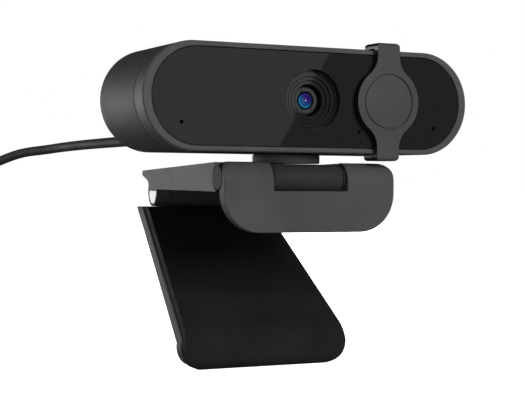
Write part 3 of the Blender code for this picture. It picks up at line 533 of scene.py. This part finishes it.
def refine(node, body, finish, width, slot):
    """A copy of a CAD node's shape with merged faces and edges rounded by width."""
    bm = bmesh.new()
    bm.from_mesh(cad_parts[node].data)
    for vert in bm.verts:
        vert.co /= MM
    bmesh.ops.remove_doubles(bm, verts=bm.verts, dist=0.002)
    bmesh.ops.dissolve_limit(bm, angle_limit=math.radians(1.5), verts=bm.verts, edges=bm.edges)
    piece = add_piece(node + "_finished", bm, body, finish, (node,), smooth_angle=30)
    soften(piece, width)


# ---- camera body -------------------------------------------------------------------------
def build_ring():
    """Front ring: thin face frame, shadow groove behind its edge, side band, rounded seam."""
    ends = GLASS_ENDS - GLASS_GAP
    flats = GLASS_FLATS - GLASS_GAP
    seam = RING_DEPTH
    opening = [(ends, flats, 1.6), (ends, flats, 0.10), (ends - 0.10, flats - 0.10, 0.0)]
    groove = even([(0.34, 0.0), (0.26, 0.05), (0.24, 0.12), (0.24, 0.50), (0.05, 0.52)])
    band = even([(0.0, 0.58), (0.0, seam - 0.12), (0.04, seam - 0.04), (0.12, seam)])
    tongue = even([(1.9, seam), (1.9, seam + 2.0), (2.8, seam + 2.0), (2.8, 3.0)])
    seat = [(4.0, 3.0, 3.0), (4.0, 3.0, 2.1), (ends, flats, 2.1)]
    profile = opening + groove + band + tongue + seat
    ring = add_piece("front_ring", pill_stack(profile, closed=True), "camera", "bezel",
                     ("front_bezel",))
    even_shading(ring)


def build_glass():
    """Dark panel with bevelled edge and real holes for the lens, microphones and light."""
    front = GLASS_LOW.y - BODY_FRONT_Y
    back = GLASS_HIGH.y - BODY_FRONT_Y
    rim = [(0.12, front), (0.04, front + 0.04), (0.0, front + 0.14), (0.0, back)]
    profile = [(GLASS_ENDS + inset, GLASS_FLATS + inset, depth) for inset, depth in rim]
    panel = add_piece("front_panel", pill_stack(profile), "camera", "glass",
                      ("front_glass",))
    holes = [((0.0, 0.0), LENS_WINDOW_RADIUS, 96)]
    holes += [(place, MIC_HOLE_RADIUS, 32) for place in MIC_HOLES]
    holes.append((LIGHT_HOLE, LIGHT_HOLE_RADIUS, 32))
    for (x, z), radius, steps in holes:
        ends = [(radius, BODY_FRONT_Y - 2), (radius, BODY_FRONT_Y + 4)]
        drill(panel, turned(ends, "Y", (x, LENS_Z + z), steps))
    clean_up(panel)
    even_shading(panel)


def build_housing():
    """Rear shell: rounded lip at the seam, rounded rear edge and the same cup inside."""
    front = HOUSING_LOW.y - BODY_FRONT_Y
    back = HOUSING_HIGH.y - BODY_FRONT_Y
    wall = HOUSING_WALL
    profile = [(wall, back - wall), (wall, front + 0.1), (wall - 0.1, front), (0.14, front),
               (0.04, front + 0.04), (0.0, front + 0.14)]
    for step in range(11):
        angle = math.radians(90 * step / 10)
        profile.append((REAR_FILLET * (1 - math.cos(angle)),
                        back - REAR_FILLET * (1 - math.sin(angle))))
    shell = add_piece("rear_shell", pill_stack(even(profile)), "camera", "housing",
                      ("rear_housing",))
    post = middle("swivel_post")
    ends = [(POST_HOLE_RADIUS, LENS_Z - 18), (POST_HOLE_RADIUS, LENS_Z - 10)]
    drill(shell, turned(ends, "Z", (post.x, post.y), steps=64))
    relief = middle("cord_strain_relief")
    ends = [(CORD_HOLE_RADIUS, HOUSING_HIGH.y - 5), (CORD_HOLE_RADIUS, HOUSING_HIGH.y + 4)]
    drill(shell, turned(ends, "Y", (relief.x, relief.z), steps=48))
    clean_up(shell)
    even_shading(shell)


def build_terraces():
    """Funnel of terraces with grooves between them; their faces are glossy, their sides duller and
    near-black as painted shade.
    """
    profile = [(9.6, TERRACE_START), (8.0, TERRACE_START)]
    for number, (radius, following) in enumerate(zip(TERRACE_RADII, TERRACE_RADII[1:])):
        depth = TERRACE_START + TERRACE_DROP * number
        bottom = depth + 2 * TERRACE_DROP
        profile += [(radius, depth + 0.07), (radius, bottom), (radius - 0.22, bottom),
                    (radius - 0.22, depth + TERRACE_DROP), (following + 0.1, depth + TERRACE_DROP)]
    profile += [(4.4, 3.3), (4.4, 7.9), (5.6, 7.9), (5.6, 4.0), (9.6, 4.0)]
    bm = turned([(r, BODY_FRONT_Y + y) for r, y in profile], "Y", (0.0, LENS_Z), steps=96,
                ring=True)
    terraces = add_piece("lens_terraces", bm, "camera", "funnel", ("lens_funnel",),
                         smooth_angle=20)
    # painted shade: every terrace side not turned to the front is near-black
    paint_shade_on_sides(terraces, limit=0.5)


def build_lock_ring():
    """Ring that holds the lens, with notches in its face for a spanner."""
    front, back = (BODY_FRONT_Y + depth for depth in LOCK_RING_DEPTHS)
    profile = [(2.6, back), (2.6, front + 0.1), (2.7, front), (3.3, front), (3.8, front + 0.45),
               (3.8, back)]
    loops = []
    for radius, y in profile:
        loop = []
        for i in range(LOCK_RING_STEPS):
            angle = 2 * math.pi * i / LOCK_RING_STEPS
            notched = i % NOTCH_EVERY in (0, 1) and y < front + 0.2
            loop.append((radius * math.cos(angle), y + (NOTCH_DEPTH if notched else 0.0),
                         LENS_Z + radius * math.sin(angle)))
        loops.append(loop)
    add_piece("lens_lock_ring", loft(loops, closed=True), "camera", "retainer",
              ("lens_retainer",), smooth_angle=25)


def build_lens():
    """Domed front element."""
    profile = [(0.02, LENS_DEPTH)]
    for step in range(1, 13):
        radius = LENS_RADIUS * step / 12
        profile.append((radius, LENS_DEPTH + LENS_DOME * (radius / LENS_RADIUS) ** 2))
    profile += [(LENS_RADIUS, 6.2), (1.4, 6.4)]
    bm = turned([(r, BODY_FRONT_Y + y) for r, y in profile], "Y", (0.0, LENS_Z), steps=64)
    add_piece("lens_front_dome", bm, "camera", "lens", ("lens_front_element",),
              smooth_angle=40)


# ---- cord --------------------------------------------------------------------------------
def smooth_route(points, per_span=24):
    """Points on a smooth curve through the route's own points."""
    knots = [2 * Vector(points[0]) - Vector(points[1])] + [Vector(p) for p in points]
    knots.append(2 * Vector(points[-1]) - Vector(points[-2]))
    fine = []
    for a, b, c, d in zip(knots, knots[1:], knots[2:], knots[3:]):
        for step in range(per_span):
            t = step / per_span
            fine.append(0.5 * (2 * b + (c - a) * t + (2 * a - 5 * b + 4 * c - d) * t * t
                               + (3 * b - a - 3 * c + d) * t ** 3))
    fine.append(Vector(points[-1]))
    return fine


def line_length(points):
    """Length of a line through points."""
    return sum((q - p).length for p, q in zip(points, points[1:]))


def resample(points, spacing):
    """Points at even distances, close to spacing, along a line through points."""
    total = line_length(points)
    count = max(2, round(total / spacing))
    wanted = [total * i / count for i in range(count + 1)]
    result, walked = [], 0.0
    for p, q in zip(points, points[1:]):
        step = (q - p).length
        while wanted and wanted[0] <= walked + step + 1e-9:
            result.append(p.lerp(q, (wanted.pop(0) - walked) / step))
        walked += step
    return result


def coil_places(low, high):
    """Radius and height of each turn: layer by layer from the top, out to in and back."""
    outer = (high.x - low.x) / 2 - TURN_STEP / 2
    top = high.z - TURN_STEP / 2
    radii = [outer - number * TURN_STEP for number in range(TURNS_PER_LAYER)]
    places = []
    for layer in range(LAYERS):
        row = radii if layer % 2 == 0 else radii[::-1]
        places += [(radius, top - layer * TURN_STEP) for radius in row]
    return places


def coil_turns(low, high):
    """Wind the coil anticlockwise from its +Y side down to its -X side at the bottom.

    Each shift to the next place starts one turn after the last one, or a shift's length
    sooner where the winding changes from moving sideways to moving down or back, so that
    no two turns meet.
    """
    centre = (low + high) / 2
    places = coil_places(low, high)
    shifts = [1.0 - CROSSOVER]
    for before, here, after in zip(places, places[1:], places[2:]):
        turned_corner = (before[1] == here[1]) != (here[1] == after[1])
        shifts.append(shifts[-1] + 1.0 - (CROSSOVER if turned_corner else 0.0))
    total = shifts[-1] + 1.0
    points = []
    for i in range(1, round(total * TURN_POINTS) + 1):
        turn = i / TURN_POINTS
        number = sum(1 for start in shifts if start <= turn)
        place = Vector(places[number])
        if number and turn < shifts[number - 1] + CROSSOVER:
            share = (turn - shifts[number - 1]) / CROSSOVER
            share = share * share * (3 - 2 * share)
            place = Vector(places[number - 1]).lerp(place, share)
        angle = math.pi / 2 + 2 * math.pi * turn
        points.append(Vector((centre.x + place[0] * math.cos(angle),
                              centre.y + place[0] * math.sin(angle), place[1])))
    return points


def build_cord():
    """The lead as one line: along the route, round the coil and out to the plug's boot."""
    low, high = box_mm("cord_coil")
    plug = middle("plug_overmould")
    line = resample(smooth_route(CORD_ROUTE), CORD_POINT_SPACING) + coil_turns(low, high)
    last = line[-1]
    boot = Vector((plug.x, box_mm("plug_overmould")[1].y + 0.1, plug.z))
    line += smooth_route([last, last.lerp(boot, 0.5) - Vector((0, 0, 0.3)), boot], 4)[1:]

    curve = bpy.data.curves.new("lead", "CURVE")
    curve.dimensions = "3D"
    curve.bevel_depth = CORD_RADIUS * MM
    curve.bevel_resolution = 6
    curve.use_fill_caps = True
    spline = curve.splines.new("POLY")
    spline.points.add(len(line) - 1)
    for slot, point in zip(spline.points, line):
        slot.co = (*(point * MM), 1.0)
    spline.use_smooth = True
    curve.materials.append(MATERIALS["cord"])
    lead = bpy.data.objects.new("lead", curve)
    bpy.context.scene.collection.objects.link(lead)
    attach(lead, "camera")
    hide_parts("cord", "cord_coil")


def build_strain_relief():
    """Tapered rubber sleeve: a flange inside the wall, a collar outside and flexing grooves."""
    centre = middle("cord_strain_relief")
    wall = HOUSING_HIGH.y
    inside = wall - HOUSING_WALL
    flange = [(2.0, inside - 1.5), (2.6, inside - 1.4), (2.6, inside - 0.3), (2.0, inside - 0.3)]
    collar = [(2.0, wall + 0.3), (2.75, wall + 0.3), (2.9, wall + 0.45), (2.9, wall + 1.3),
              (2.75, wall + 1.5), (2.6, wall + 1.6)]
    profile = flange + collar
    start = wall + 2.2
    end = box_mm("cord_strain_relief")[1].y
    for number in range(SLEEVE_GROOVES):
        at = start + (end - start - 3.0) * number / SLEEVE_GROOVES
        radius = 2.55 - SLEEVE_TAPER * number / SLEEVE_GROOVES
        profile += [(radius, at), (radius, at + 1.0), (radius - 0.28, at + 1.15),
                    (radius - 0.28, at + 1.45), (radius - 0.05, at + 1.6)]
    profile += [(2.0, end - 1.6), (1.9, end - 0.2), (1.78, end)]
    bm = turned(profile, "Y", (centre.x, centre.z), steps=48)
    add_piece("lead_sleeve", bm, "camera", "rubber", ("cord_strain_relief",),
              smooth_angle=28)


# ---- privacy cover -----------------------------------------------------------------------
def build_cover():
    """Disc with a blended strap, cut from a U-shaped side view so that its ends hook over."""
    low, high = box_mm("privacy_cover")
    centre_x = (low.x + high.x) / 2
    disc = (high.x - low.x) / 2
    reach = (high.z - low.z) / 2
    front, rear = low.y, high.y
    back = front + COVER_THICKNESS
    inner = BODY_HEIGHT / 2 + COVER_GAP
    radius = COVER_TOP_ROUNDING
    top = arc((front + radius, reach - radius), radius, 180, 90, 10)
    radius = HOOK_ROUNDING
    top += arc((rear - radius, reach - radius), radius, 90, 0, 5)
    top += [(rear, inner + 0.15), (rear - 0.15, inner), (back + 0.3, inner)]
    top += [(back, inner - 0.3)]
    side = top + [(y, -z) for y, z in reversed(top)]
    loops = [[(x, y, LENS_Z + z) for y, z in side]
             for x in (centre_x - disc - 2, centre_x + disc + 2)]
    cover = add_piece("sliding_cover", loft(loops), "cover", "cover", ("privacy_cover",))

    blend_x = STRAP_HALF_WIDTH + STRAP_BLEND
    blend_z = math.sqrt((disc + STRAP_BLEND) ** 2 - blend_x ** 2)
    lean = math.degrees(math.atan2(blend_z, blend_x))
    quarter = arc((0, 0), disc, 0, lean, 24)
    quarter += arc((blend_x, blend_z), STRAP_BLEND, 180 + lean, 180, 14)[1:]
    radius = STRAP_END_ROUNDING
    upper = quarter + arc((STRAP_HALF_WIDTH - radius, reach - radius), radius, 0, 90, 8)
    upper += [(-x, z) for x, z in reversed(upper)]
    outline = upper[:-1] + [(-x, -z) for x, z in upper[:-1]]
    loops = [[(centre_x + x, at, LENS_Z + z) for x, z in outline]
             for at in (front - 2, rear + 2)]
    join(cover, add_piece("cover_shape", loft(loops), "cover", "cover"), "INTERSECT")
    inside, outside = COVER_GROOVE_RADII
    bottom = front + COVER_GROOVE_DEPTH
    drill(cover, turned([(inside, front - 1), (outside, front - 1), (outside, bottom),
                         (inside, bottom)], "Y", (centre_x, LENS_Z), steps=96, ring=True))
    clean_up(cover)
    # painted shade: every cover face not turned to the front is near-black
    paint_shade_on_sides(cover, limit=0.4)
    soften(cover, width=0.12, angle=40)


# ---- clip --------------------------------------------------------------------------------
REFINED = [                # CAD node, body, finish, edge radius and slot
    ("clip_arm", "clip", "clip", 0.12, "clip_plastic"),
    ("front_plate", "plate", "clip", 0.30, "clip_plastic"),
    ("tilt_foot", "tilt", "foot", 0.20, "clip_plastic"),
    ("leg_shell", "leg", "clip", 0.25, "clip_plastic"),
    ("leg_pad", "leg", "rubber", 0.25, "rubber"),
    ("rear_hinge_cap_left", "clip", "cap", 0.10, None),
    ("rear_hinge_cap_right", "clip", "cap", 0.10, None),
    ("arm_pad", "clip", "rubber", 0.15, "rubber"),
    ("plate_pad", "plate", "rubber", 0.15, "rubber"),
]


def build_swivel_drum():
    """Drum between the clip and the camera body, with the post that goes up into the body."""
    low, high = box_mm("swivel_post")
    radius = (high.x - low.x) / 2
    bottom = low.z
    top = RING_LOW.z - DRUM_GAP
    bore, edge = POST_BORE_RADIUS, DRUM_EDGE
    profile = [(bore, bottom), (radius - edge, bottom), (radius, bottom + edge),
               (radius, top - edge), (radius - edge, top), (POST_RADIUS, top),
               (POST_RADIUS, high.z), (bore, high.z)]
    centre = ((low.x + high.x) / 2, (low.y + high.y) / 2)
    bm = turned(profile, "Z", centre, steps=96, ring=True)
    add_piece("swivel_drum", bm, "tilt", "clip", ("swivel_post",),
              smooth_angle=50)


DRESS = {                  # CAD nodes that keep their shape, and their finish
    "front_hinge_cap_left": "disc",
    "front_hinge_cap_right": "disc",
    "front_hinge_pin": "steel",
    "rear_hinge_pin": "steel",
    "tripod_insert": "brass",
    "swivel_spring_washer": "steel",
    "swivel_retainer": "steel",
    "swivel_screw": "steel",
    "lens_barrel": "black",
    "lens_rear_element": "lens",
    "lens_holder": "black",
    "image_sensor": "chip",
    "main_board": "board",
    "video_processor": "chip",
    "memory_chip": "chip",
    "cord_connector": "nylon",
    "mic_gasket_left": "rubber",
    "mic_gasket_right": "rubber",
    "microphone_left": "steel",
    "microphone_right": "steel",
    "led_light_pipe": "pipe",
    "plug_shell": "steel",
    "plug_tongue": "nylon",
    "plug_overmould": "black",
    "cord_tie": "rubber",
}


# ---- studio ------------------------------------------------------------------------------
def build_camera():
    """Camera at the chosen place, its axes squared up."""
    up = CAMERA_RIGHT.cross(CAMERA_LOOK).normalized()
    look = CAMERA_LOOK.normalized()
    right = look.cross(up).normalized()
    data = bpy.data.cameras.new("camera")
    data.lens = CAMERA_LENS
    data.sensor_width = 36.0
    data.sensor_fit = "HORIZONTAL"
    data.clip_start = 0.01
    data.clip_end = 20.0
    camera = bpy.data.objects.new("camera", data)
    bpy.context.scene.collection.objects.link(camera)
    camera.matrix_world = Matrix.Translation(CAMERA_PLACE) @ Matrix(
        (right, up, -look)).transposed().to_4x4()
    bpy.context.scene.camera = camera


def add_light(name, place, size, power, glossy):
    """A softbox that faces the target and is never in the picture itself."""
    data = bpy.data.lights.new(name, "AREA")
    data.shape = "RECTANGLE"
    data.size, data.size_y = size
    data.energy = power
    light = bpy.data.objects.new(name, data)
    bpy.context.scene.collection.objects.link(light)
    light.location = place
    aim = Vector(LIGHT_TARGET) - Vector(place)
    light.rotation_euler = aim.to_track_quat("-Z", "Y").to_euler()
    light.visible_camera = False
    light.visible_glossy = glossy


def add_card(name, corners, radiance):
    """A studio card that only shows in reflections."""
    bm = bmesh.new()
    bm.faces.new([bm.verts.new(corner) for corner in corners])
    mesh = bpy.data.meshes.new(name)
    bm.to_mesh(mesh)
    bm.free()
    material = bpy.data.materials.new(name)
    material.use_nodes = True
    tree = material.node_tree
    tree.nodes.clear()
    glow = tree.nodes.new("ShaderNodeEmission")
    glow.inputs["Color"].default_value = (1, 1, 1, 1)
    glow.inputs["Strength"].default_value = radiance
    output = tree.nodes.new("ShaderNodeOutputMaterial")
    tree.links.new(glow.outputs["Emission"], output.inputs["Surface"])
    mesh.materials.append(material)
    card = bpy.data.objects.new(name, mesh)
    bpy.context.scene.collection.objects.link(card)
    card.visible_camera = False
    card.visible_diffuse = False
    card.visible_shadow = False
    card.visible_transmission = False


def build_floor():
    """A floor as white as the surround, which the object neither reflects nor is lit by."""
    bm = bmesh.new()
    bmesh.ops.create_circle(bm, cap_ends=True, segments=64, radius=FLOOR_RADIUS)
    mesh = bpy.data.meshes.new("studio_floor")
    bm.to_mesh(mesh)
    bm.free()
    floor = bpy.data.objects.new("studio_floor", mesh)
    floor.location = (0.0, 0.0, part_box("leg_pad")[0][2] - FLOOR_GAP)
    bpy.context.scene.collection.objects.link(floor)
    material, _, shader = new_material("pale_floor", (0.80, 0.80, 0.80), 0.9)
    shader.inputs["Specular IOR Level"].default_value = 0.0
    shader.inputs["Emission Color"].default_value = (1, 1, 1, 1)
    shader.inputs["Emission Strength"].default_value = 1.0
    mesh.materials.append(material)
    floor.visible_diffuse = False
    floor.visible_glossy = False


def build_surround():
    """White where the camera sees it; dark grey, darker upwards, for everything it lights."""
    world = bpy.data.worlds.new("studio_world")
    world.use_nodes = True
    bpy.context.scene.world = world
    tree = world.node_tree
    background = tree.nodes["Background"]
    place = tree.nodes.new("ShaderNodeTexCoord")
    split = tree.nodes.new("ShaderNodeSeparateXYZ")
    tree.links.new(place.outputs["Generated"], split.inputs["Vector"])
    rise = between(tree, split.outputs["Z"], 0.0, 1.0, source=(-0.1, 0.4))
    surround = mix_colours(tree, rise, (0.10, 0.10, 0.10), (0.01, 0.01, 0.011))
    path = tree.nodes.new("ShaderNodeLightPath")
    seen = tree.nodes.new("ShaderNodeMix")
    seen.data_type = "RGBA"
    seen.inputs[MIX_SECOND].default_value = (1.0, 1.0, 1.0, 1.0)
    tree.links.new(path.outputs["Is Camera Ray"], seen.inputs[MIX_FACTOR])
    tree.links.new(surround, seen.inputs[MIX_FIRST])
    tree.links.new(seen.outputs[MIX_RESULT], background.inputs["Color"])


def build_cards():
    """The glass front reflects a dim card, whose slanted edge crosses the lens, and a dark one."""
    def edge(z):
        return DIM_CARD_EDGE[0] + DIM_CARD_SLANT * (z - DIM_CARD_EDGE[1])

    y = GLASS_LOW.y * MM - DIM_CARD_DISTANCE
    low, high = -0.30, 0.40
    add_card("dim_card", [(0.0, y, low), (edge(low), y, low), (edge(high), y, high),
                          (0.0, y, high)], DIM_CARD_RADIANCE)
    y = GLASS_LOW.y * MM - DARK_CARD_DISTANCE
    add_card("dark_card", [(0.0, y, -0.4), (1.7, y, -0.4), (1.7, y, 0.6), (0.0, y, 0.6)], 0.0)


def main():
    build_camera()
    build_cord()
    build_strain_relief()
    build_ring()
    build_glass()
    build_housing()
    build_terraces()
    build_lock_ring()
    build_lens()
    build_cover()
    for row in REFINED:
        refine(*row)
    build_swivel_drum()
    for node, finish in DRESS.items():
        dress(node, finish)
    bpy.context.scene.view_settings.view_transform = "Standard"
    build_floor()
    build_surround()
    for row in LIGHTS:
        add_light(*row)
    build_cards()


main()
